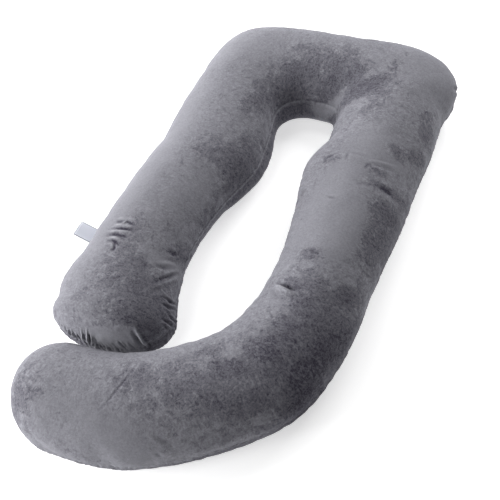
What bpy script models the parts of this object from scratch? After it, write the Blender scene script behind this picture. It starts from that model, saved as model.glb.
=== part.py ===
"""A U-shaped full-body pillow in grey velvet, with one short arm and one long, curled arm.

The cover is two panels sewn together along a seam at mid height and filled until they are
round, so the pillow is one soft solid: a loft of ribs that run from the short arm's closed
end, around the square-shouldered top, to the tip of the long arm under it.  A folded care
label is caught in the outer seam of the short arm.

Metres, +Z up.  The pillow lies flat, its arms along Y and its top bar at +Y.
"""
import bmesh
import bpy
import numpy as np
from collections import namedtuple
from mathutils import Matrix

# ---------------------------------------------------------------- the pillow's ribs
# A rib is one slice across the arm: where the side seam passes outside and inside, how high
# the crown and the two seams stand, and how far the lower panel swells past the inner seam.
Rib = namedtuple("Rib", "out_x out_y in_x in_y crown out_seam in_seam swell")

RIBS = (
    # the short arm, from its closed end up
    Rib(-0.378, -0.444, -0.054, -0.402, 0.184, 0.068, 0.074, 0.000),
    Rib(-0.400, -0.388, -0.064, -0.378, 0.186, 0.069, 0.078, 0.000),
    Rib(-0.391, -0.314, -0.086, -0.322, 0.187, 0.070, 0.082, 0.000),
    Rib(-0.389, -0.255, -0.104, -0.265, 0.188, 0.070, 0.086, 0.000),
    Rib(-0.388, -0.140, -0.115, -0.165, 0.190, 0.071, 0.092, 0.000),
    Rib(-0.385, 0.010, -0.095, -0.012, 0.192, 0.073, 0.094, 0.000),
    Rib(-0.376, 0.150, -0.060, 0.110, 0.195, 0.076, 0.095, 0.008),
    Rib(-0.383, 0.302, -0.061, 0.200, 0.197, 0.080, 0.095, 0.018),
    Rib(-0.380, 0.450, -0.078, 0.290, 0.200, 0.085, 0.096, 0.020),
    # the top bar and its two square shoulders
    Rib(-0.370, 0.581, -0.093, 0.358, 0.203, 0.090, 0.097, 0.025),
    Rib(-0.318, 0.680, -0.080, 0.408, 0.205, 0.094, 0.098, 0.030),
    Rib(-0.201, 0.715, -0.045, 0.439, 0.205, 0.096, 0.098, 0.032),
    Rib(-0.060, 0.726, -0.003, 0.447, 0.205, 0.097, 0.098, 0.030),
    Rib(0.092, 0.732, 0.043, 0.446, 0.205, 0.097, 0.098, 0.030),
    Rib(0.238, 0.737, 0.078, 0.430, 0.205, 0.094, 0.098, 0.026),
    Rib(0.349, 0.699, 0.092, 0.394, 0.203, 0.088, 0.097, 0.020),
    Rib(0.404, 0.604, 0.095, 0.351, 0.202, 0.080, 0.096, 0.006),
    Rib(0.390, 0.520, 0.096, 0.316, 0.201, 0.077, 0.096, 0.002),
    # the long arm, down and around to its tip
    Rib(0.391, 0.452, 0.102, 0.286, 0.200, 0.074, 0.095, 0.000),
    Rib(0.394, 0.320, 0.079, 0.217, 0.198, 0.070, 0.095, 0.000),
    Rib(0.384, 0.190, 0.070, 0.143, 0.196, 0.068, 0.094, 0.000),
    Rib(0.387, 0.116, 0.080, 0.092, 0.195, 0.067, 0.094, 0.000),
    Rib(0.380, -0.002, 0.099, -0.002, 0.194, 0.066, 0.093, 0.000),
    Rib(0.371, -0.140, 0.115, -0.124, 0.191, 0.065, 0.092, 0.000),
    Rib(0.368, -0.277, 0.114, -0.237, 0.188, 0.064, 0.091, 0.000),
    Rib(0.347, -0.401, 0.094, -0.328, 0.187, 0.063, 0.091, 0.000),
    Rib(0.297, -0.529, 0.050, -0.402, 0.186, 0.062, 0.091, 0.000),
    Rib(0.198, -0.631, -0.017, -0.458, 0.186, 0.062, 0.091, 0.000),
    Rib(0.083, -0.716, -0.090, -0.502, 0.185, 0.062, 0.090, 0.000),
    Rib(-0.059, -0.777, -0.167, -0.526, 0.183, 0.063, 0.089, 0.000),
    Rib(-0.198, -0.793, -0.240, -0.536, 0.180, 0.065, 0.087, 0.000),
)

# An arm's closed end goes on past its last rib: how far, which way (degrees from +X), and how
# square it is (2 is an ellipse, 4 nearly flat with round corners).
End = namedtuple("End", "length heading squareness")
SHORT_END = End(0.089, -93.5, 2.5)
LONG_END = End(0.132, 180.0, 2.1)

RIB_PITCH = 0.0215         # along the middle of the arm
END_RIBS = 10              # ribs in each closed end
RIM_SAMPLES = 400          # points that an end's rim is measured along
TOP_STEPS = 21             # facets across the top panel
UNDER_STEPS = 15           # and across the lower one

CROWN_POWER = 0.97         # height of the top panel's curve, 1 is an ellipse
UNDER_POWER = 0.85         # the lower panel is fuller inside, since the pillow sags onto it
SIDE_POWER = 0.92
OUTER_UNDER_POWER = 0.98   # and rounder outside, under the low seam
OUTER_SIDE_POWER = 1.0
SWELL_POWER = 0.40         # taken off SIDE_POWER where the lower panel swells most
FULL_SWELL = 0.020
SWELL_HEIGHT_POWER = 0.8   # under 1 puts the swell's widest point nearer the floor
END_HEIGHT_POWER = 0.85    # how slowly an end's height falls as it narrows
FLOOR_SINK = 0.012         # how far the round underside would reach below the floor
SEAM_PINCH = 0.020         # share of the half width that the seam is drawn in
SEAM_PINCH_REACH = 0.30    # how far around the rib, in radians, before that has faded

# ---------------------------------------------------------------- gathers at the short end
# The closed end is eased into the seam in gathers: where, as a bearing about the end's middle
# (degrees from +X), how wide and how deep.
Gather = namedtuple("Gather", "bearing half_width depth")
GATHERS = (
    Gather(-150.0, 6.0, 0.0030),
    Gather(-128.0, 7.0, 0.0045),
    Gather(-108.0, 6.0, 0.0055),
    Gather(-88.0, 6.0, 0.0040),
    Gather(-64.0, 7.0, 0.0035),
    Gather(-41.0, 8.0, 0.0055),
    Gather(-16.0, 8.0, 0.0040),
    Gather(6.0, 8.0, 0.0035),
)
END_MIDDLE = (-0.225, -0.380)
GATHER_REACH = 0.040       # height above and below the seam where a gather has faded
GATHERED_RIBS = 6          # of the arm itself, next to its closed end
MERGE_DISTANCE = 1e-5

# ---------------------------------------------------------------- the care label
LABEL_Y = -0.218           # its middle, along the short arm
LABEL_WIDTH = 0.048
LABEL_LENGTH = 0.066
LABEL_THICKNESS = 0.0012
LABEL_TILT = 22.0          # degrees that it stands up from the seam
LABEL_GAP = 0.0006         # between its root and the seam
LABEL_STEPS = 8

VELVET_GREY = (0.175, 0.175, 0.205)
VELVET_ROUGHNESS = 0.8
SATIN_WHITE = (0.86, 0.86, 0.85)
SATIN_ROUGHNESS = 0.45


def clear_scene():
    """Remove every object that the new file starts with."""
    for thing in list(bpy.data.objects):
        bpy.data.objects.remove(thing)


def fabric(name, colour, roughness):
    """A plain cloth material."""
    material = bpy.data.materials.new(name)
    material.use_nodes = True
    shader = material.node_tree.nodes["Principled BSDF"]
    shader.inputs["Base Color"].default_value = (*colour, 1.0)
    shader.inputs["Roughness"].default_value = roughness
    shader.inputs["Metallic"].default_value = 0.0
    return material


def spline(knots, rows, where):
    """Read a natural cubic spline through rows at knots, at each place in where."""
    count = len(knots)
    gap = np.diff(knots)
    matrix = np.zeros((count, count))
    right = np.zeros_like(rows)
    matrix[0, 0] = 1.0
    matrix[-1, -1] = 1.0
    for i in range(1, count - 1):
        matrix[i, i - 1:i + 2] = gap[i - 1], 2 * (gap[i - 1] + gap[i]), gap[i]
        right[i] = 6 * ((rows[i + 1] - rows[i]) / gap[i] - (rows[i] - rows[i - 1]) / gap[i - 1])
    bend = np.linalg.solve(matrix, right)
    k = np.clip(np.searchsorted(knots, where) - 1, 0, count - 2)
    step = gap[k][:, None]
    a = (knots[k + 1] - where)[:, None] / step
    b = (where - knots[k])[:, None] / step
    curve = ((a**3 - a) * bend[k] + (b**3 - b) * bend[k + 1]) * step**2 / 6
    return a * rows[k] + b * rows[k + 1] + curve


def arm_ribs():
    """Evenly spaced ribs through the table above."""
    rows = np.array(RIBS)
    middle = (rows[:, 0:2] + rows[:, 2:4]) / 2
    run = np.hypot(*np.diff(middle, axis=0).T)
    knots = np.concatenate(([0.0], np.cumsum(run)))
    where = np.linspace(0.0, knots[-1], int(knots[-1] / RIB_PITCH) + 1)
    return [Rib(*row) for row in spline(knots, rows, where)]


def end_stations(end, half_width):
    """How far along an end each of its ribs is and how wide it is, evenly spaced on its rim."""
    turn = np.linspace(0.0, np.pi / 2, RIM_SAMPLES)
    along = np.sin(turn) ** (2 / end.squareness)
    wide = np.cos(turn) ** (2 / end.squareness)
    step = np.hypot(np.diff(along) * end.length, np.diff(wide) * half_width)
    rim = np.concatenate(([0.0], np.cumsum(step)))
    where = np.linspace(0.0, rim[-1], END_RIBS + 2)[1:-1]
    return zip(np.interp(where, rim, along), np.interp(where, rim, wide))


def section(rib, along=0.0, wide=1.0, end=None):
    """The points around one rib, from the outer seam over the crown and back underneath."""
    outer = np.array((rib.out_x, rib.out_y))
    inner = np.array((rib.in_x, rib.in_y))
    middle = (outer + inner) / 2
    across = (outer - inner) / 2
    half_width = np.hypot(*across)
    seam_middle = (rib.out_seam + rib.in_seam) / 2
    seam_lean = (rib.out_seam - rib.in_seam) / 2
    if end:
        heading = np.radians(end.heading)
        middle = middle + along * end.length * np.array((np.cos(heading), np.sin(heading)))
    over = np.linspace(0.0, np.pi, TOP_STEPS, endpoint=False)
    under = np.linspace(np.pi, 2 * np.pi, UNDER_STEPS, endpoint=False)
    angle = np.concatenate((over, under))
    is_under = angle >= np.pi
    is_inner = np.cos(angle) < 0
    swell = max(0.0, rib.swell)
    inner_side = SIDE_POWER - SWELL_POWER * min(1.0, swell / FULL_SWELL)
    side = np.where(is_under, np.where(is_inner, inner_side, OUTER_SIDE_POWER), 1.0)
    under_power = np.where(is_inner, UNDER_POWER, OUTER_UNDER_POWER)
    rise = np.where(is_under, under_power, CROWN_POWER)
    sideways = np.sign(np.cos(angle)) * np.abs(np.cos(angle)) ** side
    height = np.abs(np.sin(angle)) ** rise
    drawn_in = SEAM_PINCH * np.exp(-(np.sin(angle) / SEAM_PINCH_REACH) ** 2)
    sideways = sideways * (1 - drawn_in)
    fall = wide**END_HEIGHT_POWER
    seam = seam_middle + seam_lean * sideways * wide
    above = seam + (rib.crown - seam) * fall * height
    below = seam - (seam + FLOOR_SINK) * fall * height
    z = np.maximum(np.where(is_under, below, above), 0.0)
    depth = np.clip((seam - z) / seam, 0.0, 1.0)
    swelling = swell * wide * np.sin(np.pi * depth**SWELL_HEIGHT_POWER)
    bulge = np.where(is_under & is_inner, swelling, 0.0)
    plan = middle + np.outer(sideways * wide - bulge / half_width, across)
    return np.column_stack((plan, z))


def end_sections(rib, end):
    """The ribs of a closed end, going outward from the arm's last rib."""
    half_width = np.hypot(rib.out_x - rib.in_x, rib.out_y - rib.in_y) / 2
    return [section(rib, along, wide, end) for along, wide in end_stations(end, half_width)]


def end_point(rib, end):
    """Where a closed end's seam turns back, on the arm's middle line."""
    heading = np.radians(end.heading)
    x = (rib.out_x + rib.in_x) / 2 + end.length * np.cos(heading)
    y = (rib.out_y + rib.in_y) / 2 + end.length * np.sin(heading)
    return np.array((x, y, (rib.out_seam + rib.in_seam) / 2))


def gathered(points, seam):
    """Draw points of the short arm's end in by the gathers, deepest at the seam."""
    offset = points[:, :2] - END_MIDDLE
    bearing = np.degrees(np.arctan2(offset[:, 1], offset[:, 0]))
    inward = -offset / np.hypot(*offset.T)[:, None]
    depth = np.zeros(len(points))
    for gather in GATHERS:
        depth += gather.depth * np.exp(-((bearing - gather.bearing) / gather.half_width) ** 2)
    depth *= np.exp(-((points[:, 2] - seam) / GATHER_REACH) ** 2)
    moved = points.copy()
    moved[:, :2] += inward * depth[:, None]
    return moved


def pillow_sections():
    """The whole loft: an end point, the ribs in order, and the other end point."""
    ribs = arm_ribs()
    steps = TOP_STEPS + UNDER_STEPS
    sections = [np.tile(end_point(ribs[0], SHORT_END), (steps, 1))]
    sections += end_sections(ribs[0], SHORT_END)[::-1]
    sections += [section(rib) for rib in ribs]
    sections += end_sections(ribs[-1], LONG_END)
    sections += [np.tile(end_point(ribs[-1], LONG_END), (steps, 1))]
    for number in range(1 + END_RIBS + GATHERED_RIBS):
        sections[number] = gathered(sections[number], ribs[0].out_seam)
    return sections


def pillow(sections):
    """Roll a grid into the loft, close its two ends, and keep its seam as a line."""
    steps = TOP_STEPS + UNDER_STEPS
    mesh = bmesh.new()
    bmesh.ops.create_grid(mesh, x_segments=steps, y_segments=len(sections) - 1, size=1.0)
    mesh.verts.ensure_lookup_table()
    for row, points in enumerate(sections):
        for column in range(steps + 1):
            vert = mesh.verts[row * (steps + 1) + column]
            vert.co = points[column % steps]
            vert.select = column % steps in (0, TOP_STEPS)
    for edge in mesh.edges:
        edge.smooth = not all(vert.select for vert in edge.verts)
    bmesh.ops.remove_doubles(mesh, verts=mesh.verts, dist=MERGE_DISTANCE)
    bmesh.ops.recalc_face_normals(mesh, faces=mesh.faces)
    return as_object(mesh, "pillow", fabric("velvet", VELVET_GREY, VELVET_ROUGHNESS))


def care_label(sections):
    """A folded ribbon whose root follows the short arm's outer seam."""
    short_arm = sections[END_RIBS:len(sections) // 3]
    outer_seam = np.array([points[0] for points in short_arm])
    half = LABEL_WIDTH / 2
    tilt = np.radians(LABEL_TILT)
    mesh = bmesh.new()
    bmesh.ops.create_grid(mesh, x_segments=LABEL_STEPS, y_segments=LABEL_STEPS, size=1.0)
    for vert in mesh.verts:
        out = LABEL_LENGTH * (1 + vert.co.x) / 2
        y = LABEL_Y + half * vert.co.y
        root_x = np.interp(y, outer_seam[:, 1], outer_seam[:, 0]) - LABEL_GAP
        root_z = np.interp(y, outer_seam[:, 1], outer_seam[:, 2])
        vert.co = root_x - out * np.cos(tilt), y, root_z + out * np.sin(tilt)
    bmesh.ops.recalc_face_normals(mesh, faces=mesh.faces)
    thing = as_object(mesh, "care_label", fabric("satin", SATIN_WHITE, SATIN_ROUGHNESS))
    thickness = thing.modifiers.new("thickness", "SOLIDIFY")
    thickness.thickness = LABEL_THICKNESS
    thickness.offset = 0.0
    return thing


def as_object(mesh, name, material):
    """Turn a bmesh into a smooth-shaded object."""
    data = bpy.data.meshes.new(name)
    mesh.to_mesh(data)
    mesh.free()
    data.polygons.foreach_set("use_smooth", [True] * len(data.polygons))
    data.materials.append(material)
    thing = bpy.data.objects.new(name, data)
    bpy.context.collection.objects.link(thing)
    return thing


def centre(things):
    """Move everything so that the middle of its footprint is the origin."""
    points = np.array([vert.co for thing in things for vert in thing.data.vertices])
    middle = (points.min(axis=0) + points.max(axis=0)) / 2
    for thing in things:
        thing.data.transform(Matrix.Translation((-middle[0], -middle[1], 0.0)))


def build():
    """Make the pillow and its label."""
    clear_scene()
    sections = pillow_sections()
    centre([pillow(sections), care_label(sections)])


build()
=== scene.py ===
# %% [markdown]
# # A U-shaped body pillow in crushed velvet
#
# The pillow is a long tube of velvet bent into a U: a short arm that ends blunt, a square
# top, and a long arm that curls under the short one. Two panels are sewn together along a
# side seam, which lies lower on the outside of the U than on its inside, and the tube is
# filled with fibre until it is round.
#
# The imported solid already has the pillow's size, so everything here is worked out from it.
# The steps are: light and camera, then the cover (its mesh, its filling, its seam, its
# gathers and creases, its pile), then the small satin label that is caught in the seam.

import math
from collections import namedtuple

import bmesh
import bpy
import numpy as np
from mathutils import Matrix, Vector, kdtree, noise


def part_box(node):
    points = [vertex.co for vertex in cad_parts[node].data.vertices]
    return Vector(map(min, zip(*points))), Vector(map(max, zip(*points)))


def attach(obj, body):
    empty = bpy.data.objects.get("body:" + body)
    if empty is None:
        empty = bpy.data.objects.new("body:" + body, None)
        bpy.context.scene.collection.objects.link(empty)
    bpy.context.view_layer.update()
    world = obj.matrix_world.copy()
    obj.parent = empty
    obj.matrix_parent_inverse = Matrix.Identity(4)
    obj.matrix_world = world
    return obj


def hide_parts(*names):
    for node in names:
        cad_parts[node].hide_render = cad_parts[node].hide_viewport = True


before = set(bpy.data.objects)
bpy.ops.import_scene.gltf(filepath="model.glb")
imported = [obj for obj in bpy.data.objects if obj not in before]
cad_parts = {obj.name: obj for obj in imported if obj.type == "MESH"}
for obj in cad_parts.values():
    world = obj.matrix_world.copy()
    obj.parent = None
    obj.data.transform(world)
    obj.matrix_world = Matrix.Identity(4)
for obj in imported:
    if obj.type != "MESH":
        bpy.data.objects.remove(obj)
scene = bpy.context.scene
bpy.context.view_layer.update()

# %% [markdown]
# ## The picture
#
# A product picture of something this long is taken from above its open end and a little to
# one side, with the camera turned so that the pillow fills the frame from corner to corner.
# A camera is easiest to place by what it looks at, how far off it is, and three angles. The
# last one, the roll, is the turn that tips the whole picture.

# %% Camera
LOOK_AT = Vector((0.0565, -0.1058, 0.095))
CAMERA_DISTANCE = 1.830
CAMERA_HEADING = math.radians(30.06)     # to the right of straight on
CAMERA_ELEVATION = math.radians(53.0)
CAMERA_ROLL = math.radians(-9.0)
LENS = 50.4                              # millimetres, on a 36 mm sensor

camera_data = bpy.data.cameras.new("camera")
camera_data.lens = LENS
camera_data.sensor_width = 36.0
camera = bpy.data.objects.new("camera", camera_data)
scene.collection.objects.link(camera)
reach = CAMERA_DISTANCE * math.cos(CAMERA_ELEVATION)
camera.location = LOOK_AT + Vector((
    reach * math.sin(CAMERA_HEADING),
    -reach * math.cos(CAMERA_HEADING),
    CAMERA_DISTANCE * math.sin(CAMERA_ELEVATION),
))
aim = (LOOK_AT - camera.location).to_track_quat("-Z", "Y").to_matrix()
camera.rotation_euler = (aim @ Matrix.Rotation(CAMERA_ROLL, 3, "Z")).to_euler()
scene.camera = camera
print("the camera stands at", tuple(round(c, 3) for c in camera.location))

# %% [markdown]
# ## Floor and light
#
# Velvet shows its form by how its pile catches a grazing light, so two broad lights stand low
# on the left and a third one, higher, behind the pillow. Two weak ones above it and a dim,
# even surround fill the rest. The floor is a plain white sheet that glows a little, as a lit
# studio sweep does, so the shadow on it stays pale.

# %% Helpers for node materials
def new_material(name):
    """A material with its nodes, the shader first."""
    material = bpy.data.materials.new(name)
    material.use_nodes = True
    return material, material.node_tree, material.node_tree.nodes["Principled BSDF"]


def add_node(tree, kind, **settings):
    """Add a node and set its properties, or its inputs where a name isn't a property."""
    node = tree.nodes.new(kind)
    for name, value in settings.items():
        if hasattr(node, name):
            setattr(node, name, value)
        else:
            node.inputs[name.replace("_", " ")].default_value = value
    return node


def set_inputs(node, values):
    """Set a node's own inputs to constants."""
    for name, value in values.items():
        node.inputs[name].default_value = value


# %% Floor
WHITE = (1.0, 1.0, 1.0, 1.0)
FLOOR_SIZE = 60.0        # metres, so that low views show no edge
FLOOR_WHITE = (0.84, 0.84, 0.84, 1.0)
FLOOR_GLOW = 0.58

floor_mesh = bmesh.new()
bmesh.ops.create_grid(floor_mesh, x_segments=2, y_segments=2, size=FLOOR_SIZE / 2)
floor_data = bpy.data.meshes.new("floor")
floor_mesh.to_mesh(floor_data)
floor_mesh.free()
floor = bpy.data.objects.new("floor", floor_data)
scene.collection.objects.link(floor)
floor_material, _, floor_shader = new_material("floor_white")
set_inputs(floor_shader, {
    "Base Color": FLOOR_WHITE,
    "Roughness": 0.9,
    "Specular IOR Level": 0.1,
    "Emission Color": WHITE,
    "Emission Strength": FLOOR_GLOW,
})
floor_data.materials.append(floor_material)
print("the floor is", FLOOR_SIZE, "m wide")

# %% Lights
Light = namedtuple("Light", "name bearing height size power")
LIGHTS = (
    # bearings in degrees from +X, heights in degrees above the floor, sizes in metres
    Light("left_front", 222.0, 15.0, 1.5, 84.0),
    Light("left_back", 138.0, 15.0, 1.5, 74.0),
    Light("behind", 70.0, 35.0, 1.5, 46.0),
    Light("above_left", 140.0, 62.0, 1.6, 18.0),
    Light("above_front", 250.0, 50.0, 1.4, 14.0),
)
LIGHT_DISTANCE = 2.8      # metres
LIGHTS_AIM = Vector((0.0, 0.0, 0.1))
SURROUND = 0.06

for light in LIGHTS:
    data = bpy.data.lights.new(light.name, "AREA")
    data.size = light.size
    data.energy = light.power
    lamp = bpy.data.objects.new(light.name, data)
    flat = LIGHT_DISTANCE * math.cos(math.radians(light.height))
    lamp.location = LIGHTS_AIM + Vector((
        flat * math.cos(math.radians(light.bearing)),
        flat * math.sin(math.radians(light.bearing)),
        LIGHT_DISTANCE * math.sin(math.radians(light.height)),
    ))
    lamp.rotation_euler = (LIGHTS_AIM - lamp.location).to_track_quat("-Z", "Y").to_euler()
    scene.collection.objects.link(lamp)
world = bpy.data.worlds.new("studio")
world.use_nodes = True
set_inputs(world.node_tree.nodes["Background"], {"Color": WHITE, "Strength": SURROUND})
scene.world = world
scene.view_settings.view_transform = "Standard"
print("lights:", ", ".join(light.name for light in LIGHTS))

# %% [markdown]
# ## The cover's mesh
#
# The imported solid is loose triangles. Welded and joined into four-sided faces it is a clean
# net of ribs around the tube, which cloth simulation and subdivision like best. The two
# closed ends stay fans of triangles, because all the ribs' points meet there in one point.

# %% Quads from the solid
WELD = 1e-5              # metres
FAN_EDGES = 30           # only a closed end's middle point joins more edges than this


def fan_points(mesh):
    """The middle points of the two closed ends, the short arm's first."""
    found = [vert for vert in mesh.verts if len(vert.link_edges) > FAN_EDGES]
    return sorted(found, key=lambda vert: -vert.co.y)


net = bmesh.new()
net.from_mesh(bpy.data.objects["pillow"].data)
bmesh.ops.remove_doubles(net, verts=net.verts, dist=WELD)
fans = {face for point in fan_points(net) for face in point.link_faces}
bmesh.ops.join_triangles(
    net, faces=[face for face in net.faces if face not in fans],
    cmp_seam=False, cmp_sharp=False, cmp_uvs=False, cmp_vcols=False, cmp_materials=False,
    angle_face_threshold=math.radians(60), angle_shape_threshold=math.radians(180),
    topology_influence=2.0,
)
print(f"the net: {len(net.verts)} points, {sum(len(f.verts) == 4 for f in net.faces)} quads "
      f"and {sum(len(f.verts) == 3 for f in net.faces)} triangles")

# %% [markdown]
# The side seam is an edge loop of this net. At a point where four edges meet, a loop goes on
# along the one edge that shares no face with the edge it came by. So a loop can be followed
# from one closed end to the other. On the outside of the U the seam is the loop that passes
# nearest to the label's root, because the label is caught in it. The inner one leaves the
# same closed end, a fixed share of the way round it over the crown. Halfway between the two
# runs lies the middle line of the arm.

# %% Follow the seam
LABEL_LOW, LABEL_HIGH = (Vector(corner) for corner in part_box("care_label"))
LABEL_MIDDLE = (LABEL_LOW.y + LABEL_HIGH.y) / 2
LABEL_ROOT = Vector((LABEL_HIGH.x, LABEL_MIDDLE, LABEL_LOW.z))
CROWN_SHARE = 21 / 36    # of a closed end's facets lie over the crown, the others under it


def loop_from(start, edge):
    """The points of a loop that leaves one closed end and ends at the other."""
    vert = edge.other_vert(start)
    run = [start]
    while len(vert.link_edges) == 4:
        run.append(vert)
        edge = next(e for e in vert.link_edges if not set(e.link_faces) & set(edge.link_faces))
        vert = edge.other_vert(vert)
    return run + [vert]


def over_the_crown(start, first):
    """The edges that meet in a closed end's middle, in order, over the crown first."""
    edges = [first]
    face = max(first.link_faces, key=lambda f: f.calc_center_median().z)
    while True:
        edge = next(e for e in face.edges if start in e.verts and e is not edges[-1])
        if edge is first:
            return edges
        edges.append(edge)
        face = next(f for f in edge.link_faces if f is not face)


def seam_run(mesh, side):
    """The seam's points from the short end to the long one: side -1 is outside, 1 inside."""
    start = fan_points(mesh)[0]
    outer = min(start.link_edges, key=lambda edge: min(
        (vert.co - LABEL_ROOT).length for vert in loop_from(start, edge)))
    edges = over_the_crown(start, outer)
    return loop_from(start, outer if side < 0 else edges[round(len(edges) * CROWN_SHARE)])


def lengths(points):
    """How far along a line of points each of them is."""
    steps = np.linalg.norm(np.diff(points, axis=0), axis=1)
    return np.concatenate(([0.0], np.cumsum(steps)))


outer_run = seam_run(net, -1)
inner_run = seam_run(net, 1)
print(f"the seam: {len(outer_run)} points outside, {len(inner_run)} inside, "
      f"{lengths(np.array([v.co for v in outer_run]))[-1]:.2f} m and "
      f"{lengths(np.array([v.co for v in inner_run]))[-1]:.2f} m long")

# %% The seam as one line around the pillow
SEAM_STEP = 0.003        # metres between the places that a distance is measured from


def seam_line(mesh):
    """The whole seam, out along the outside of the U and home along its inside.

    The second value is how far along it the long arm's closed end lies.
    """
    out = [vert.co.copy() for vert in seam_run(mesh, -1)]
    home = [vert.co.copy() for vert in seam_run(mesh, 1)]
    corners = np.array(out + home[-2::-1])
    run = lengths(corners)
    where = np.linspace(0.0, run[-1], int(run[-1] / SEAM_STEP) + 1)
    line = np.column_stack([np.interp(where, run, corners[:, axis]) for axis in range(3)])
    return line, run[len(out) - 1]


middle_line = np.array([(a.co + b.co) / 2 for a, b in zip(outer_run, inner_run)])
print(f"the middle line of the arm is {lengths(middle_line)[-1]:.2f} m long")

# %% [markdown]
# ## Filling the cover
#
# Fibre pushes a cover out everywhere at once, and the seam, which was eased in when it was
# sewn, is too short for the cloth beside it. Between them they make the shallow, uneven
# puckers that no formula gives. Blender's Cloth does the same with air pressure, gravity off
# and a shrink that is strongest at the seam. The solid is already full, so the broad part of
# each point's move isn't wanted: it is taken out again, and only the puckers stay. The points
# that rest on the floor are pinned.

# %% Helpers for points
def bell(x):
    """1 where x is nought, next to nothing past 2."""
    return np.exp(-(x**2))


def points_of(data):
    """A mesh's points as an array."""
    flat = np.empty(len(data.vertices) * 3)
    data.vertices.foreach_get("co", flat)
    return flat.reshape(-1, 3)


def normals_of(data):
    """Which way a mesh faces at each of its points."""
    flat = np.empty(len(data.vertices) * 3)
    data.vertex_normals.foreach_get("vector", flat)
    return flat.reshape(-1, 3)


def set_points(data, points):
    """Put a mesh's points back."""
    data.vertices.foreach_set("co", np.ascontiguousarray(points).ravel())
    data.update()


def even_out(values, data, rounds):
    """Spread a value over a mesh, each round halfway to the mean of the neighbours."""
    pairs = np.empty(len(data.edges) * 2, dtype=np.int64)
    data.edges.foreach_get("vertices", pairs)
    a, b = pairs.reshape(-1, 2).T
    count = len(values)
    joined = np.bincount(a, minlength=count) + np.bincount(b, minlength=count)
    for _ in range(rounds):
        total = np.bincount(a, values[b], count) + np.bincount(b, values[a], count)
        values = (values + total / joined) / 2
    return values


def smoother(thing):
    """One round of Catmull-Clark subdivision, applied."""
    modifier = thing.modifiers.new("smoother", "SUBSURF")
    modifier.levels = modifier.render_levels = 1
    graph = bpy.context.evaluated_depsgraph_get()
    data = bpy.data.meshes.new_from_object(thing.evaluated_get(graph))
    thing.modifiers.clear()
    thing.data = data


# %% The cover as an object
SEAM_CREASE = 0.5        # how firmly subdivision keeps the seam's corner
FLOOR_TOUCH = 0.0015     # metres: a point under this rests on the floor

crease = net.edges.layers.float.new("crease_edge")
for run in (outer_run, inner_run):
    for a, b in zip(run, run[1:]):
        net.edges.get((a, b))[crease] = SEAM_CREASE
cover_data = bpy.data.meshes.new("velvet_cover")
net.to_mesh(cover_data)
net.free()
cover = bpy.data.objects.new("velvet_cover", cover_data)
scene.collection.objects.link(cover)
smoother(cover)
print(f"the cover before filling: {len(cover.data.vertices)} points")

# %% Fill it
FILL_FRAMES = 20
AIR = 4.0                # the cloth's pressure
SEAM_SHRINK = 0.07       # the seam is this much too short
PANEL_SHRINK = -0.03     # and the panels have this much to spare
EASED = 0.020            # metres from the seam that are drawn in with it
LOW_ROUNDS = 45          # of evening out, which leave only the broad part of a move
MOST_MOVE = 0.003        # metres that a pucker may stand up or lie in
PANEL_PUCKERS = 0.10     # the share of its puckers that is kept in the middle of a panel
SEAM_PUCKERS = 0.35      # and what is added to it at the seam
PUCKER_FADE = 0.060      # metres from the seam


def nearest(points, places):
    """How far each point is from the nearest of some places, and which one that is."""
    tree = kdtree.KDTree(len(places))
    for number, place in enumerate(places):
        tree.insert(place, number)
    tree.balance()
    found = [tree.find(point) for point in points]
    return np.array([row[2] for row in found]), np.array([row[1] for row in found])


def fill(thing, away):
    """Let Cloth fill a cover and return where each point goes."""
    rests = thing.vertex_groups.new(name="rests_on_floor")
    low = points_of(thing.data)[:, 2] < FLOOR_TOUCH
    rests.add([int(i) for i in np.flatnonzero(low)], 1.0, "REPLACE")
    eased = thing.vertex_groups.new(name="eased_in")
    for number in np.flatnonzero(away < EASED * 2):
        eased.add([int(number)], float(math.exp(-(away[number] / EASED) ** 2)), "REPLACE")
    cloth = thing.modifiers.new("filling", "CLOTH")
    settings = cloth.settings
    settings.quality = 5
    settings.mass = 0.3
    settings.tension_stiffness = settings.compression_stiffness = 15.0
    settings.shear_stiffness = 5.0
    settings.bending_stiffness = 0.5
    settings.use_pressure = True
    settings.uniform_pressure_force = AIR
    settings.effector_weights.gravity = 0.0
    settings.vertex_group_mass = rests.name
    settings.vertex_group_shrink = eased.name
    settings.shrink_min = PANEL_SHRINK
    settings.shrink_max = SEAM_SHRINK
    cloth.point_cache.frame_start = scene.frame_start = 1
    cloth.point_cache.frame_end = scene.frame_end = FILL_FRAMES
    for number in range(1, FILL_FRAMES + 1):
        scene.frame_set(number)
    graph = bpy.context.evaluated_depsgraph_get()
    filled = points_of(thing.evaluated_get(graph).data)
    thing.modifiers.clear()
    thing.vertex_groups.clear()
    scene.frame_set(1)
    return filled


flat_mesh = bmesh.new()
flat_mesh.from_mesh(cover.data)
smooth_seam, _ = seam_line(flat_mesh)
flat_mesh.free()
before = points_of(cover.data)
facing = normals_of(cover.data)
away, _ = nearest(before, smooth_seam)
moved = np.einsum("ij,ij->i", fill(cover, away) - before, facing)
puckers = moved - even_out(moved, cover.data, LOW_ROUNDS)
puckers *= PANEL_PUCKERS + SEAM_PUCKERS * bell(away / PUCKER_FADE)
puckers = np.clip(puckers, -MOST_MOVE, MOST_MOVE)
set_points(cover.data, before + facing * puckers[:, None])
print(f"the cloth moved out by {moved.mean() * 1000:.0f} mm on average, and its puckers are up "
          f"to {puckers.max() * 1000:.1f} mm high and {-puckers.min() * 1000:.1f} mm deep")
smoother(cover)
print(f"the cover after filling: {len(cover.data.vertices)} points")

# %% [markdown]
# ## The sewn seam
#
# Where two panels of velvet are sewn right sides together and turned, the seam shows as a
# thin ridge between two shallow grooves. Its edges are bevelled into three lines of points,
# so that the ridge and the grooves have points to stand on.

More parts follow.
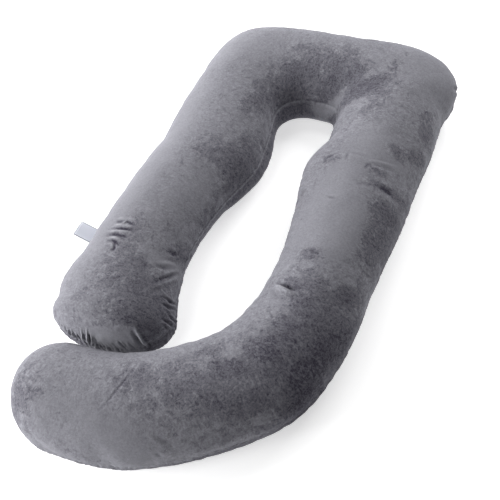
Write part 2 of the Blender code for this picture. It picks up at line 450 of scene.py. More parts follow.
# %% Bevel the seam
WELT_HALF = 0.0028       # metres from the seam to the bevel's outer lines
TIP_CLEAR = 0.012        # the bevel stops this far from a closed end's middle point

body = bmesh.new()
body.from_mesh(cover.data)
seam, long_end = seam_line(body)
tips = [point.co.copy() for point in fan_points(body)]
sewn = []
for side in (-1, 1):
    run = seam_run(body, side)
    for a, b in zip(run, run[1:]):
        if all((v.co - tip).length > TIP_CLEAR for v in (a, b) for tip in tips):
            sewn.append(body.edges.get((a, b)))
bmesh.ops.bevel(
    body, geom=sewn, offset=WELT_HALF, offset_type="OFFSET", segments=2, profile=0.5,
    affect="EDGES", clamp_overlap=True, material=-1,
)
print(f"the seam: {len(sewn)} edges bevelled, {len(body.verts)} points now")

# %% [markdown]
# ## Finer cloth where it is creased
#
# The short arm's closed end is eased into the seam in small gathers, and the creases on the
# arms are narrow too. The faces there are split once more, and the narrowest folds twice;
# everywhere else the cover stays coarser, which keeps the mesh light.

# %% Creases, given one by one
Crease = namedtuple("Crease", "half_width depth shade places")
CREASE_ROWS = (
    # Each row gives half a width and a depth in millimetres, where a depth below nought is a
    # raised fold; how much lighter or darker it is painted, which is partly the pile's own
    # crushed tone and partly painted shade in a trough and painted highlight on a raised fold;
    # and the places it runs through.
    # the short, deep fold on the long arm's inner side, and the bulge under it
    (4.4, 7.0, -0.22, ((180, -220, 164), (202, -227, 175), (215, -232, 180), (240, -243, 186))),
    (9.0, -4.5, 0.30, ((180, -230, 164), (203, -240, 176), (222, -248, 182), (245, -253, 186))),
    (4.0, 1.4, -0.14, ((200, -175, 173), (213, -168, 178))),
    (6.0, -1.0, 0.06, ((181, -198, 163), (190, -181, 168), (201, -159, 174))),
    # short dimples farther up the same arm
    (3.5, 1.4, -0.20, ((213, 55, 188), (226, 52, 191), (239, 51, 192))),
    (4.5, 2.2, -0.14, ((228, -115, 185), (244, -123, 188), (260, -123, 190))),
    (5.0, 2.0, -0.10, ((362, -88, 152), (374, -83, 138))),
    # crushed marks and soft arcs over the long arm below its shoulder
    (4.0, 0.5, -0.20, ((168, 165, 179), (162, 188, 178), (177, 202, 184), (197, 216, 190))),
    (5.0, 0.5, -0.16, ((185, 190, 187), (198, 198, 190))),
    (4.0, 0.5, -0.18, ((220, 184, 194), (217, 216, 194))),
    (3.6, 0.4, -0.10, ((217, 216, 194), (244, 216, 196), (275, 212, 195))),
    (7.0, 1.2, -0.24, ((322, 132, 184), (344, 132, 174), (369, 129, 157))),
    (5.0, 0.8, -0.12, ((267, 120, 195), (290, 121, 192), (314, 123, 187))),
    (4.5, 1.0, -0.10, ((264, 189, 196), (297, 195, 191), (331, 202, 179), (363, 209, 160))),
    (3.5, -0.8, 0.10, ((280, 205, 194), (319, 214, 184), (352, 224, 168))),
    # the long, faint crease across the curled end
    (2.8, 0.7, -0.12, ((-31, -518, 166), (-31, -545, 175), (-35, -592, 183), (-43, -628, 183),
                       (-55, -663, 176))),
    # small crushed marks near its closed end and near the bend
    (5.0, 1.2, -0.10, ((-246, -663, 170), (-231, -669, 172), (-210, -670, 175))),
    (2.8, 1.4, -0.20, ((-233, -718, 146), (-223, -719, 148))),
    (5.0, 1.4, -0.12, ((74, -661, 151), (92, -664, 139), (112, -658, 133))),
    (4.0, 1.4, -0.12, ((84, -686, 117), (91, -688, 105))),
    # crushed folds beside the label: four dark rows with light cloth between them
    (4.6, 1.8, -0.52, ((-279, -190, 182), (-256, -187, 186))),
    (4.6, 1.8, -0.52, ((-253, -188, 187), (-240, -186, 188), (-222, -190, 189))),
    (2.2, -1.2, 0.18, ((-254, -193, 186), (-247, -178, 188))),
    (4.6, 2.0, -0.50, ((-282, -215, 179), (-251, -210, 186), (-214, -205, 188))),
    (2.6, -1.2, 0.12, ((-275, -224, 181), (-240, -216, 187), (-210, -210, 188))),
    (6.0, 2.4, -0.48, ((-285, -236, 177), (-253, -229, 186), (-219, -232, 188))),
    (2.6, -1.2, 0.12, ((-262, -241, 183), (-234, -240, 187))),
    (4.6, 1.8, -0.42, ((-274, -251, 180), (-249, -251, 185), (-225, -258, 187))),
    (4.6, 1.8, -0.42, ((-247, -255, 185), (-238, -267, 186), (-238, -282, 186))),
    (2.2, -1.2, 0.14, ((-241, -256, 186), (-230, -267, 187))),
    # folds on the short arm's inner side, where the long arm's curl pushes against it
    (4.2, 4.0, -0.30, ((-105, -311, 158), (-95, -292, 147), (-87, -269, 132), (-84, -240, 106))),
    (3.8, -2.2, 0.22, ((-92, -312, 149), (-85, -290, 133), (-79, -260, 109))),
    (5.0, -2.0, 0.20, ((-118, -252, 157), (-107, -246, 148), (-91, -231, 122))),
    (5.0, 2.4, -0.26, ((-124, -270, 163), (-110, -266, 154), (-98, -256, 140))),
    (6.0, 2.0, -0.22, ((-122, -216, 156), (-112, -212, 146), (-100, -208, 130))),
    (6.0, 2.0, -0.06, ((-100, -345, 160), (-85, -320, 140), (-76, -300, 115))),
    # gathers at the right of the blunt end, dark and light by turns
    (3.4, 4.4, -0.14, ((-76, -336, 142), (-60, -333, 119), (-57, -320, 77))),
    (3.0, -1.6, 0.16, ((-66, -343, 134), (-55, -341, 114), (-55, -327, 75))),
    (3.4, 4.4, -0.14, ((-70, -356, 143), (-54, -351, 120), (-55, -330, 70))),
    (3.0, -1.4, 0.12, ((-57, -372, 133), (-45, -369, 115))),
    (3.2, 4.0, -0.12, ((-52, -369, 127), (-41, -368, 103), (-44, -357, 60))),
    (3.2, 3.6, -0.12, ((-55, -388, 131), (-42, -385, 110), (-35, -376, 83))),
    (2.6, -1.4, 0.12, ((-47, -390, 120), (-37, -386, 88))),
    (3.2, 3.6, -0.12, ((-48, -397, 118), (-39, -393, 95), (-38, -386, 68))),
    # the long raised fold at its lower right, with a hollow on its left
    (3.4, -3.4, 0.42, ((-100, -437, 146), (-86, -445, 117), (-81, -446, 91), (-75, -442, 45))),
    (4.0, 3.0, -0.12, ((-104, -446, 136), (-93, -451, 115), (-87, -450, 70))),
    (3.0, 3.0, -0.14, ((-112, -460, 108), (-106, -459, 70))),
    (3.0, 3.4, -0.18, ((-134, -469, 110), (-128, -469, 87), (-125, -469, 66))),
    (2.4, -1.2, 0.14, ((-129, -467, 112), (-122, -467, 84))),
    # the close gathers at its lower left
    (2.6, 3.6, -0.20, ((-206, -482, 120), (-213, -485, 87), (-220, -485, 62))),
    (2.4, -2.0, 0.22, ((-211, -477, 142), (-213, -484, 110), (-227, -485, 64))),
    (2.6, 3.0, -0.18, ((-220, -484, 116), (-232, -485, 70))),
    (2.4, -1.8, 0.18, ((-228, -479, 134), (-228, -485, 112), (-236, -486, 78))),
    (2.8, 3.4, -0.22, ((-243, -485, 106), (-245, -485, 68))),
    (3.2, 3.4, -0.22, ((-252, -484, 108), (-253, -485, 64))),
    (2.4, -1.8, 0.20, ((-259, -484, 120), (-261, -486, 95), (-263, -487, 68))),
    (2.8, 3.4, -0.22, ((-266, -485, 110), (-272, -487, 66))),
    (2.8, 3.0, -0.14, ((-277, -482, 116), (-283, -486, 70))),
    (2.4, -1.2, 0.10, ((-283, -478, 124), (-289, -484, 86))),
    (3.0, 3.0, -0.16, ((-296, -474, 120), (-302, -480, 72))),
    (4.0, 2.0, -0.08, ((-322, -445, 134), (-333, -455, 95))),
    (4.0, 2.0, -0.08, ((-340, -420, 134), (-352, -432, 90))),
    # two nicks in the outline: on the right shoulder and at the bend
    (5.0, 5.0, -0.10, ((410, 604, 137), (416, 621, 123), (424, 645, 90))),
    (6.0, 5.0, -0.08, ((350, -418, 110), (357, -411, 77), (357, -405, 55))),
)
CREASES = [Crease(half_width / 1000, depth / 1000, shade, np.array(places) / 1000)
           for half_width, depth, shade, places in CREASE_ROWS]
print(len(CREASES), "creases are placed by hand")

# %% Gathers along the seam
SHORT_END_PITCH = 0.0115     # metres from one gather to the next
SHORT_END_OUT = 0.27         # metres of seam from the closed end's middle, up the outside
SHORT_END_IN = 0.24          # and up the inside
SHORT_END_UPPER = 0.3        # the upper panel's share there, as CREASES has its gathers
LONG_END_PITCH = 0.0145
LONG_END_OUT = 0.50          # metres of seam before the long arm's closed end
LONG_END_PAST = 0.20         # and past it
EASE_PITCH = 0.036           # everywhere else
JITTER = 0.002               # metres
Gather = namedtuple("Gather", "along half_width depth reach slant")
# the limits that a gather's half width, depth, reach and slant are drawn between
SHORT_END = ((0.0028, 0.0045), (0.0012, 0.0034), (0.020, 0.055), (-0.25, 0.25))
LONG_END = ((0.0030, 0.0048), (0.0006, 0.0026), (0.010, 0.024), (-0.3, 0.3))
ELSEWHERE = ((0.0045, 0.0085), (0.0004, 0.0018), (0.018, 0.050), (-0.3, 0.3))

seed = np.random.default_rng(27)


def drawn(place, limits):
    """A gather at a place on the seam, its other values drawn between limits."""
    return Gather(place, *(seed.uniform(low, high) for low, high in limits))


around = len(seam) * SEAM_STEP
gathers = []
for number in range(int((SHORT_END_OUT + SHORT_END_IN) / SHORT_END_PITCH)):
    place = -SHORT_END_IN + number * SHORT_END_PITCH + seed.uniform(-JITTER, JITTER)
    gathers.append(drawn(place % around, SHORT_END))
place = SHORT_END_OUT
while place < around - SHORT_END_IN:
    if long_end - LONG_END_OUT < place < long_end + LONG_END_PAST:
        place += LONG_END_PITCH * seed.uniform(0.7, 1.4)
        gathers.append(drawn(place, LONG_END))
    else:
        place += EASE_PITCH * seed.uniform(0.6, 1.5)
        gathers.append(drawn(place, ELSEWHERE))
print(len(gathers), "gathers along", round(around, 2), "m of seam")

# %% Split the faces that need it
SPLIT_CREASE = 3.0       # half widths either side of a crease
SPLIT_MARGIN = 0.004     # and metres more
SPLIT_SHORT_END = 0.055  # metres either side of the seam at the short end
SPLIT_LONG_END = 0.016   # and at the long one
SPLIT_ABOVE = 0.012      # metres: the cover lies smooth under this
NARROW = 0.0036          # metres: a crease narrower than this is split twice
SPLIT_TWICE = 2.0        # half widths either side of it
SEAM_EVERY = 3           # every third place on the seam is close enough here


def near_line(points, places):
    """How far each point is from a line of places, and how far along the line, 0 to 1."""
    places = np.array(places)
    run = lengths(places)
    best = np.full(len(points), np.inf)
    where = np.zeros(len(points))
    for a, b, start, step in zip(places, places[1:], run, np.diff(run)):
        part = np.clip((points - a) @ (b - a) / step**2, 0.0, 1.0)
        distance = np.linalg.norm(points - a - part[:, None] * (b - a), axis=1)
        closer = distance < best
        best[closer] = distance[closer]
        where[closer] = (start + part[closer] * step) / run[-1]
    return best, where


def face_centres(mesh):
    """The middle of each face."""
    return np.array([face.calc_center_median() for face in mesh.faces])


def near_creases(centres, creases, half_widths, margin=0.0):
    """Which places lie near one of some creases."""
    near = np.zeros(len(centres), dtype=bool)
    for wanted in creases:
        reach = wanted.half_width * half_widths + margin
        near |= near_line(centres, wanted.places)[0] < reach
    return near


def split_faces(mesh, fine):
    """Split the marked faces of a mesh in four."""
    mesh.faces.ensure_lookup_table()
    edges = {edge for number in np.flatnonzero(fine) for edge in mesh.faces[number].edges}
    bmesh.ops.subdivide_edges(mesh, edges=list(edges), cuts=1, use_grid_fill=True, smooth=1.0)
    print(f"{int(fine.sum())} faces split, {len(mesh.verts)} points now")


centres = face_centres(body)
picks = np.arange(0, len(seam), SEAM_EVERY)
run = picks * SEAM_STEP
at_short_end = seam[picks[(run < SHORT_END_OUT) | (run > around - SHORT_END_IN)]]
at_long_end = seam[picks[(run > long_end - LONG_END_OUT) & (run < long_end + LONG_END_PAST)]]
fine = near_creases(centres, CREASES, SPLIT_CREASE, SPLIT_MARGIN)
fine |= nearest(centres, at_short_end)[0] < SPLIT_SHORT_END
fine |= nearest(centres, at_long_end)[0] < SPLIT_LONG_END
fine &= centres[:, 2] > SPLIT_ABOVE
split_faces(body, fine)
narrow = [wanted for wanted in CREASES if wanted.half_width < NARROW]
split_faces(body, near_creases(face_centres(body), narrow, SPLIT_TWICE))
body.to_mesh(cover.data)
body.free()

# %% [markdown]
# ## Creases, gathers and lumps
#
# Each of them is a soft trough or rise that moves the cover along its own normals. A crease
# is a trough with a low lip on both sides, because the cloth that it takes in has to go
# somewhere. A gather is a trough that starts at the seam and fades out away from it. The
# seam's ridge stands out most inside the U, where the cloth is pulled tight over it. The
# filling adds wide, low lumps everywhere, and bulges where it is packed fullest.

# %% Move the cover
LIP = 0.45               # a crease's lip, as a share of the trough's depth
LIP_PLACE = 2.1          # half widths from the middle of the trough
CREASE_ENDS = 0.8        # the power of the curve by which a crease runs out at both ends
GATHER_LIP = 0.35
GATHER_LIP_PLACE = 1.8
GATHER_ACROSS = 4        # half widths: a gather moves nothing past this
GATHER_ALONG = 2.5       # reaches, likewise
WELT_RISE = 0.0022       # metres, like the next four
WELT_WIDTH = 0.0016
GROOVE_DEPTH = 0.0022
GROOVE_PLACE = 0.0038
GROOVE_WIDTH = 0.0022
OUTSIDE_WELT = 0.35      # the share of the ridge and the grooves on the outside of the U
WELT_FADE = 0.1          # metres of seam from one share to the other
FLOOR_FADE = 0.02        # metres above the floor, where the moves fade out
Lump = namedtuple("Lump", "size height")
LUMPS = (Lump(0.110, 0.0016), Lump(0.045, 0.0008), Lump(0.018, 0.0004))
Bulge = namedtuple("Bulge", "x y z radius height")
BULGES = (
    # on the outside of the bend, and in the right shoulder
    Bulge(0.360, -0.410, 0.090, 0.090, 0.0045),
    Bulge(0.310, -0.500, 0.090, 0.080, 0.0040),
    Bulge(0.378, -0.300, 0.100, 0.080, 0.0025),
    Bulge(0.400, 0.600, 0.110, 0.070, 0.0035),
)


def crease_profile(points, wanted):
    """How strong a crease is at each point: 1 in its middle, below nought on its lips."""
    distance, where = near_line(points, wanted.places)
    x = distance / wanted.half_width
    ends = np.clip(np.sin(np.pi * np.clip(where, 0.01, 0.99)), 0.0, 1.0) ** CREASE_ENDS
    return ends * (bell(x) - LIP * bell(x - LIP_PLACE))


def gather_move(away, along, side):
    """How far the gathers move each point."""
    move = np.zeros(len(away))
    for gather in gathers:
        gap = along - gather.along - gather.slant * away * side
        gap = (gap + around / 2) % around - around / 2
        near = np.abs(gap) < GATHER_ACROSS * gather.half_width
        near &= away < GATHER_ALONG * gather.reach
        x = gap[near] / gather.half_width
        fade = bell(away[near] / gather.reach)
        if gather.along < SHORT_END_OUT or gather.along > around - SHORT_END_IN:
            fade *= np.where(side[near] > 0, SHORT_END_UPPER, 1.0)
        trough = bell(x) - GATHER_LIP * bell(np.abs(x) - GATHER_LIP_PLACE)
        move[near] -= gather.depth * fade * trough
    return move


def welt_share(along):
    """How much of the seam's ridge shows: all of it inside the U, less on the outside."""
    inside = np.clip((along - long_end - LONG_END_PAST) / WELT_FADE, 0.0, 1.0)
    inside *= np.clip((around - SHORT_END_IN - along) / WELT_FADE, 0.0, 1.0)
    return OUTSIDE_WELT + (1.0 - OUTSIDE_WELT) * inside


def lump_move(points):
    """How far the filling's lumps and bulges move each point."""
    move = np.zeros(len(points))
    for lump in LUMPS:
        move += lump.height * np.array([noise.noise(Vector(p) / lump.size) for p in points])
    for bulge in BULGES:
        gap = np.linalg.norm(points - (bulge.x, bulge.y, bulge.z), axis=1)
        move += bulge.height * bell(gap / bulge.radius)
    return move


points = points_of(cover.data)
facing = normals_of(cover.data)
away, number = nearest(points, seam)
along = number * SEAM_STEP
side = np.sign(points[:, 2] - seam[number, 2])
welt = welt_share(along)
move = gather_move(away, along, side) + lump_move(points)
creased = np.zeros(len(points))
for wanted in CREASES:
    profile = crease_profile(points, wanted)
    move -= wanted.depth * profile
    # painted shade and highlight: a trough is painted darker and its lips lighter, a raised fold
    # lighter, on top of the pile's own crushed tone
    creased += wanted.shade * profile
move += WELT_RISE * welt * bell(away / WELT_WIDTH)
move -= GROOVE_DEPTH * welt * bell((away - GROOVE_PLACE) / GROOVE_WIDTH)
move *= np.clip(points[:, 2] / FLOOR_FADE, 0.0, 1.0)
points = points + facing * move[:, None]
points[:, 2] = np.maximum(points[:, 2], 0.0)
set_points(cover.data, points)
print(f"the cover moves between {move.min() * 1000:.1f} and {move.max() * 1000:.1f} mm")

# %% [markdown]
# ## Which way the pile lies, and painted light and shade
#
# Velvet is a short, dense pile. Where it has been pressed or stroked it leans another way and
# turns lighter or darker. A table of soft patches paints those shades, and it paints light
# and shade as well: painted light on the blunt end's foot, where the curled arm shades it,
# and painted shade along the outer rim of the bend and the long arm. The lower panel is
# painted darker towards the floor. A second attribute holds each point's place along the arm
# and across it, so that fine streaks can run across the arm wherever it turns. Two more say
# where the seam's ridge and the creases are: the ridge gets a painted highlight, and the
# creases get painted shade in their troughs and painted highlight on their rises, besides
# the pile's own crushed marks.

# %% Patches of pile tone, painted light and painted shade
PileAndLightPatch = namedtuple("PileAndLightPatch", "x y long short turn shade")
PILE_AND_LIGHT_ROWS = (
    # Each row gives a patch's middle, half its length and half its width in millimetres, its
    # turn in degrees from +X, and how much lighter or darker it is.
    # the top bar: dark above the gap and in two smaller patches, light on both shoulders
    (-40, 490, 125, 52, 56, -1.00),
    (78, 500, 56, 30, 35, -1.30),
    (142, 536, 36, 26, 60, -1.10),
    (178, 484, 64, 30, 36, -2.00),
    (245, 575, 35, 22, 70, -0.50),
    (-57, 586, 22, 14, 20, -0.70),
    (240, 470, 52, 28, 20, -0.40),
    (64, 464, 42, 10, 0, 3.40),
    (86, 565, 60, 36, 60, -0.70),
    (225, 400, 50, 40, 60, -0.40),
    (-225, 545, 115, 75, 40, 0.35),
    (350, 600, 120, 80, -45, 0.40),
    # the short arm: light along the outside, dark along the gap and at its end
    (-290, 20, 340, 55, 88, 0.75),
    (-160, -40, 110, 50, 80, 0.15),
    (-104, 20, 60, 35, 80, 0.25),
    (-66, 130, 105, 42, 82, -0.85),
    (-86, -45, 70, 12, 84, -0.50),
    (-140, 120, 60, 45, 10, -0.40),
    (-105, 335, 46, 30, 60, -0.80),
    (-235, -215, 60, 50, 60, -0.55),
    (-205, -310, 60, 50, 60, -0.50),
    (-253, -415, 30, 16, 70, -0.60),
    (-165, -400, 60, 45, -60, -0.40),
    (-95, -370, 90, 58, -62, -1.00),
    # painted light on the blunt end's foot, where the curled arm shades it
    (-165, -486, 85, 13, 12, 5.00),
    (-102, -456, 30, 20, 30, 1.00),
    (-112, -430, 36, 16, 5, -0.90),
    (-98, -190, 32, 18, 70, -1.20),
    (-112, -250, 36, 20, 15, 0.60),
    # the long arm: light along the gap, dark streaks along the outside
    (215, 60, 190, 48, 84, 0.85),
    (275, 250, 80, 50, 84, 0.60),
    (290, -40, 85, 40, 84, 1.00),
    (300, 70, 50, 26, 80, 0.60),
    (180, 190, 32, 18, 20, -0.95),
    (293, 182, 36, 15, -10, -0.80),
    (330, 271, 32, 17, 0, -0.80),
    (386, 296, 30, 18, 60, -0.80),
    (392, 383, 36, 22, 80, -0.90),
    (374, 440, 34, 16, 80, -0.70),
    (343, 225, 40, 16, 10, 0.60),
    (352, 138, 46, 12, 2, -1.50),
    (350, 72, 58, 26, -12, -0.80),
    (362, -10, 95, 34, 88, -0.80),
    (395, 80, 150, 18, 88, -0.60),
    # the bend and the curled end
    (315, -325, 135, 75, -62, -1.30),
    (255, -385, 60, 45, 55, -0.90),
    (320, -455, 90, 50, 50, -0.80),
    (288, -476, 30, 20, 50, 1.60),
    (279, -524, 44, 20, 30, 0.90),
    (250, -508, 40, 22, 30, -0.50),
    (210, -545, 55, 26, 20, -0.70),
    (262, -430, 70, 45, -30, -0.60),
    (120, -545, 150, 70, 18, -0.60),
    (110, -446, 32, 16, 20, -0.60),
    (172, -474, 45, 26, 20, -1.00),
    (225, -408, 45, 22, 10, -1.00),
    (-20, -565, 50, 36, 0, -0.35),
    (-260, -700, 90, 45, 100, -0.60),
    (-215, -676, 24, 15, 20, -0.60),
    (226, -285, 48, 22, -42, 0.50),
    (222, -214, 28, 12, -20, -0.90),
    (232, -128, 34, 20, 0, -1.00),
    # painted shade along the outer side of the long arm and the bend's outer rim, near the floor
    (372, -300, 190, 26, 66, -1.60),
    (330, -440, 100, 26, 48, -0.90),
    (352, -200, 36, 22, 60, -1.40),
    (338, -484, 110, 20, 60, -2.00),
    (-150, -700, 95, 65, 10, 0.25),
    (-5, -700, 80, 40, 0, 0.55),
)
PILE_AND_LIGHT_PATCHES = [PileAndLightPatch(x / 1000, y / 1000, long / 1000, short / 1000, turn, shade)
           for x, y, long, short, turn, shade in PILE_AND_LIGHT_ROWS]
PATCH_EDGE = 1.4        # over 1, a patch is flatter in its middle and ends sooner


def stroked(points):
    """How much lighter or darker each point is painted: pile tone, painted light and painted
    shade.
    """
    shade = np.zeros(len(points))
    for tone_patch in PILE_AND_LIGHT_PATCHES:
        turn = math.radians(tone_patch.turn)
        x = points[:, 0] - tone_patch.x
        y = points[:, 1] - tone_patch.y
        u = (x * math.cos(turn) + y * math.sin(turn)) / tone_patch.long
        v = (y * math.cos(turn) - x * math.sin(turn)) / tone_patch.short
        shade += tone_patch.shade * np.exp(-((u**2 + v**2) ** PATCH_EDGE))
    return shade


def arm_places(points):
    """Each point's place along the arm's middle line, out from it, and its height."""
    level = middle_line * (1.0, 1.0, 0.0)
    ahead = np.gradient(level, axis=0)
    ahead /= np.linalg.norm(ahead, axis=1)[:, None]
    _, number = nearest(points * (1.0, 1.0, 0.0), level)
    offset = points - level[number]
    along = lengths(level)[number] + np.einsum("ij,ij->i", offset, ahead[number])
    across = offset[:, 1] * ahead[number, 0] - offset[:, 0] * ahead[number, 1]
    return np.column_stack((along, across, points[:, 2]))


def store(data, name, values):
    """Keep a number or a vector at each point, for the material to read."""
    kind, field = ("FLOAT", "value") if values.ndim == 1 else ("FLOAT_VECTOR", "vector")
    layer = data.attributes.new(name, kind, "POINT")
    layer.data.foreach_set(field, np.ascontiguousarray(values, dtype=np.float32).ravel())


RIDGE_HALF = 0.0018      # metres: how wide the painted highlight along the seam's ridge is
UNDER_PAINTED_SHADE = 0.90        # painted shade: the lower panel is darkened towards the floor
UNDER_FROM = 0.012       # metres over the seam, where that begins
UNDER_FADE = 0.025       # metres from there down to where it is darkest

# painted shade below the seam, taken off the patches
under = np.clip((seam[number, 2] + UNDER_FROM - points[:, 2]) / UNDER_FADE, 0.0, 1.0)
store(cover.data, "stroked", stroked(points) - UNDER_PAINTED_SHADE * under)
store(cover.data, "arm_place", arm_places(points))
# where the seam's ridge gets its painted highlight
store(cover.data, "ridge", welt * bell(away / RIDGE_HALF))
# the creases' painted shade and highlight, with the pile's crushed tone
store(cover.data, "creased", creased)
print(len(PILE_AND_LIGHT_PATCHES), "stroked patches")

# %% [markdown]
# ## Crushed velvet
#
# Where the pile is pressed it isn't evenly dark: it breaks up into streaks and specks, with
# ragged edges. So the patches are first roughened by noise and cut off softly, which gives
# a mask of pressed pile. The patches hold painted light and shade as well as the pile's own
# tone, so that mask and the shade built from it carry painted shade, and painted light where
# a patch is light. The seam's ridge adds a painted highlight and the creases add painted shade
# and highlight. A fine grain is everywhere. Mottles and streaks are strongest where the pile
# is half pressed, and fade out where a patch is light and smooth. The glow of pile at
# glancing angles is the shader's own sheen.

# %% Helpers that add to `tree`, the nodes of the material at hand, and to its `shader`
def math_node(operation, *values, **settings):
    """A Math node fed by sockets or plain numbers."""
    node = add_node(tree, "ShaderNodeMath", operation=operation, **settings)
    for number, value in enumerate(values):
        if isinstance(value, bpy.types.NodeSocket):
            tree.links.new(value, node.inputs[number])
        else:
            node.inputs[number].default_value = value
    return node.outputs[0]


def product(a, b):
    """One value times another."""
    return math_node("MULTIPLY", a, b)


def add_share(total, value, share):
    """A running total with a share of one more value."""
    return math_node("MULTIPLY_ADD", value, share, total)


def attribute(name, output="Fac"):
    """Read what is stored at the points."""
    return add_node(tree, "ShaderNodeAttribute", attribute_name=name).outputs[output]


def noise_about_zero(source, **settings):
    """A noise texture whose middle is nought."""
    texture = add_node(tree, "ShaderNodeTexNoise", **settings)
    tree.links.new(source, texture.inputs["Vector"])
    return math_node("SUBTRACT", texture.outputs["Fac"], 0.5)


def blend_colours(factor, first, second):
    """Colour the material from the first colour, at 0, to the second, at 1."""
    blend = add_node(tree, "ShaderNodeMix", data_type="RGBA")
    tree.links.new(factor, blend.inputs["Factor"])
    blend.inputs[6].default_value = first      # the node's two colours are inputs 6 and 7,
    blend.inputs[7].default_value = second     # and their blend is output 2
    tree.links.new(blend.outputs[2], shader.inputs["Base Color"])


def emboss(height, strength, distance):
    """Let a value stand up from the surface."""
    bump = add_node(tree, "ShaderNodeBump", Strength=strength, Distance=distance)
    tree.links.new(height, bump.inputs["Height"])
    tree.links.new(bump.outputs["Normal"], shader.inputs["Normal"])


# %% Velvet
PILE_DARK = (0.038, 0.034, 0.051, 1.0)
PILE_LIGHT = (0.345, 0.346, 0.378, 1.0)
UPRIGHT_SHADE = 0.55     # 0 is the dark colour, 1 the light one
PRESSED_SHADE = -0.20    # added where the pile is fully pressed
PATCH_SHADE = 0.08      # added by a patch as such, painted light and shade included
# a painted highlight along the seam's ridge
RIDGE_HIGHLIGHT = 0.38
BROAD_SHADE = 0.14
GRAIN_SHADE = 0.44       # everywhere
PRESSED_GRAIN = 0.15     # added where it is pressed
MOTTLE_SHADE = 0.90      # where the patches don't lighten it
PRESSED_MOTTLE = 1.40    # added where it is half pressed
STREAK_SHADE = 0.75      # where the patches don't lighten it
PRESSED_STREAKS = 0.80   # added where it is half pressed
SMOOTH_FROM = 0.60       # where the patches are lighter than this, the pile is smooth
HALF_PRESSED = 1.34      # fully pressed pile keeps 0.34 of the mottles and the streaks
STREAK_SCALE = (120.0, 42.0, 42.0)       # finer along the arm, so that they run across it
EDGE_NOISE = 3.2         # how ragged the mask's edge is
EDGE_STREAKS = 2.0
MASK_MIDDLE = 0.35       # half pressed
MASK_SOFT = 0.24         # either side of it, to upright and to fully pressed

velvet, tree, shader = new_material("crushed_velvet")
place = add_node(tree, "ShaderNodeTexCoord").outputs["Object"]
arm_place = add_node(tree, "ShaderNodeMapping")
arm_place.inputs["Scale"].default_value = STREAK_SCALE
tree.links.new(attribute("arm_place", "Vector"), arm_place.inputs["Vector"])
grain = noise_about_zero(place, Scale=210.0, Detail=2.0, Roughness=0.6, Distortion=0.8)
mottle = noise_about_zero(place, Scale=95.0, Detail=4.0, Roughness=0.66, Distortion=1.4)
streaks = noise_about_zero(arm_place.outputs["Vector"],
                           Scale=1.0, Detail=4.0, Roughness=0.62, Distortion=1.4)
blotches = noise_about_zero(place, Scale=30.0, Detail=4.0, Roughness=0.66, Distortion=1.0)
broad = noise_about_zero(place, Scale=8.0, Detail=2.0, Roughness=0.5, Distortion=0.4)
# pile tone with painted light and painted shade, from the patches
hand = attribute("stroked")

edge = add_share(product(hand, -1.0), blotches, EDGE_NOISE)
edge = add_share(edge, streaks, EDGE_STREAKS)
mask = add_node(tree, "ShaderNodeMapRange", interpolation_type="SMOOTHSTEP",
                From_Min=MASK_MIDDLE - MASK_SOFT, From_Max=MASK_MIDDLE + MASK_SOFT)
tree.links.new(edge, mask.inputs["Value"])
pressed = mask.outputs["Result"]
not_smooth = math_node("SUBTRACT", HALF_PRESSED, pressed)
half_pressed = product(pressed, not_smooth)
rough = product(math_node("SUBTRACT", SMOOTH_FROM, hand, use_clamp=True), not_smooth)

# the patches, the ridge and the creases add painted light and shade here, besides the pile's own
# tone
shade = UPRIGHT_SHADE
for value, share in (
    (pressed, PRESSED_SHADE),
    (hand, PATCH_SHADE),
    (attribute("ridge"), RIDGE_HIGHLIGHT),
    (attribute("creased"), 1.0),
    (broad, BROAD_SHADE),
    (grain, GRAIN_SHADE),
    (product(grain, pressed), PRESSED_GRAIN),
    (product(mottle, rough), MOTTLE_SHADE),
    (product(mottle, half_pressed), PRESSED_MOTTLE),
    (product(streaks, rough), STREAK_SHADE),
    (product(streaks, half_pressed), PRESSED_STREAKS),
):
    shade = add_share(shade, value, share)
blend_colours(shade, PILE_DARK, PILE_LIGHT)
emboss(shade, strength=0.5, distance=0.0012)
set_inputs(shader, {
    "Roughness": 0.85,
    "Specular IOR Level": 0.15,
    "Sheen Weight": 0.14,
    "Sheen Roughness": 0.35,
    "Sheen Tint": (0.90, 0.92, 1.0, 1.0),
})
cover.data.materials.clear()
cover.data.materials.append(velvet)
cover.data.polygons.foreach_set("use_smooth", [True] * len(cover.data.polygons))
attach(cover, "root")
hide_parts("pillow")
print("velvet on", cover.name)

# %% [markdown]
# ## The care label
#
# The label is a woven satin ribbon, folded in half and caught in the short arm's outer seam
# by its two raw ends. It is one strip: out along the top, round the fold and back along
# the bottom. A grid is bent along that path and then given the ribbon's thickness.

# %% Bend a ribbon
LABEL_WIDTH = 0.048      # metres, like the next three
LABEL_OPEN = 0.0011      # between the two layers
LABEL_TUCK = 0.002       # of each end, inside the seam
RIBBON = 0.00028         # the ribbon's own thickness
LABEL_TILT = math.radians(22.0)          # it is stiff enough to stand up from the seam
CURL = 0.0012            # metres: its fold isn't quite straight
CURL_TURN = 2.3 * math.pi                # from one edge to the other
CURL_START = 0.6
RIBBON_STEPS = 44
WIDTH_STEPS = 16
SHORT_ARM_SEAM = 0.9     # metres of seam from the closed end, where the label's root is

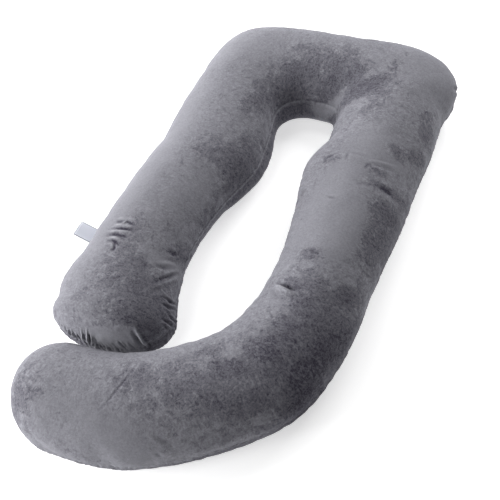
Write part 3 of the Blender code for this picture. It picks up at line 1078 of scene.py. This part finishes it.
outward = Vector((-math.cos(LABEL_TILT), 0.0, math.sin(LABEL_TILT)))
upward = Vector((math.sin(LABEL_TILT), 0.0, math.cos(LABEL_TILT)))
outside = seam[: int(SHORT_ARM_SEAM / SEAM_STEP)]
root_x = np.interp(LABEL_MIDDLE, outside[:, 1], outside[:, 0])
reach = (root_x - LABEL_LOW.x - RIBBON) / math.cos(LABEL_TILT)
fold = math.pi * LABEL_OPEN / 2
whole = 2 * (reach + LABEL_TUCK) + fold - LABEL_OPEN
layer = reach + LABEL_TUCK - LABEL_OPEN / 2
ribbon = bmesh.new()
woven = ribbon.verts.layers.float_vector.new("woven")
bmesh.ops.create_grid(ribbon, x_segments=WIDTH_STEPS, y_segments=RIBBON_STEPS, size=0.5)
for vert in ribbon.verts:
    width = vert.co.x
    run = (vert.co.y + 0.5) * whole
    if run < layer:
        out = run
        lift = LABEL_OPEN / 2
    elif run < layer + fold:
        turn = (run - layer) / (LABEL_OPEN / 2)
        out = layer + LABEL_OPEN / 2 * math.sin(turn)
        lift = LABEL_OPEN / 2 * math.cos(turn)
    else:
        out = whole - run
        lift = -LABEL_OPEN / 2
    share = max(0.0, out - LABEL_TUCK) / reach
    y = LABEL_MIDDLE + width * LABEL_WIDTH
    root = Vector((np.interp(y, outside[:, 1], outside[:, 0]), y,
                   np.interp(y, outside[:, 1], outside[:, 2])))
    curl = CURL * share * math.sin(CURL_TURN * width + CURL_START)
    vert[woven] = (width * LABEL_WIDTH, run - whole / 2, 0.0)
    vert.co = root + outward * (out - LABEL_TUCK) + upward * (lift + curl)
bmesh.ops.recalc_face_normals(ribbon, faces=ribbon.faces)
bmesh.ops.solidify(ribbon, geom=ribbon.faces[:], thickness=RIBBON)
label_data = bpy.data.meshes.new("folded_label")
ribbon.to_mesh(label_data)
ribbon.free()
label_data.polygons.foreach_set("use_smooth", [True] * len(label_data.polygons))
label = bpy.data.objects.new("folded_label", label_data)
scene.collection.objects.link(label)
print(f"the ribbon is {whole * 1000:.0f} mm long, {LABEL_WIDTH * 1000:.0f} mm wide")

# %% Satin
SATIN = (0.66, 0.68, 0.76, 1.0)
# the ribbon is darker along both edges and along its fold
EDGE_AND_FOLD_DARK = (0.18, 0.19, 0.22, 1.0)
SELVEDGE_WIDTH = 0.0020  # metres
FOLD_WIDTH = 0.0018      # either side of the fold, where it is darker

satin, tree, shader = new_material("label_satin")
woven_place = add_node(tree, "ShaderNodeSeparateXYZ")
tree.links.new(attribute("woven", "Vector"), woven_place.inputs["Vector"])
from_middle = math_node("ABSOLUTE", woven_place.outputs["X"])
is_selvedge = math_node("GREATER_THAN", from_middle, LABEL_WIDTH / 2 - SELVEDGE_WIDTH)
from_fold = math_node("ABSOLUTE", woven_place.outputs["Y"])
is_edge = math_node("MAXIMUM", is_selvedge, math_node("LESS_THAN", from_fold, FOLD_WIDTH))
blend_colours(is_edge, SATIN, EDGE_AND_FOLD_DARK)
weave = add_node(tree, "ShaderNodeTexWave", Scale=900.0, Distortion=0.3, bands_direction="Y")
tree.links.new(attribute("woven", "Vector"), weave.inputs["Vector"])
emboss(weave.outputs["Fac"], strength=0.25, distance=0.0002)
set_inputs(shader, {"Roughness": 0.38})
label_data.materials.append(satin)
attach(label, "root")
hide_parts("care_label")
print("satin on", label.name)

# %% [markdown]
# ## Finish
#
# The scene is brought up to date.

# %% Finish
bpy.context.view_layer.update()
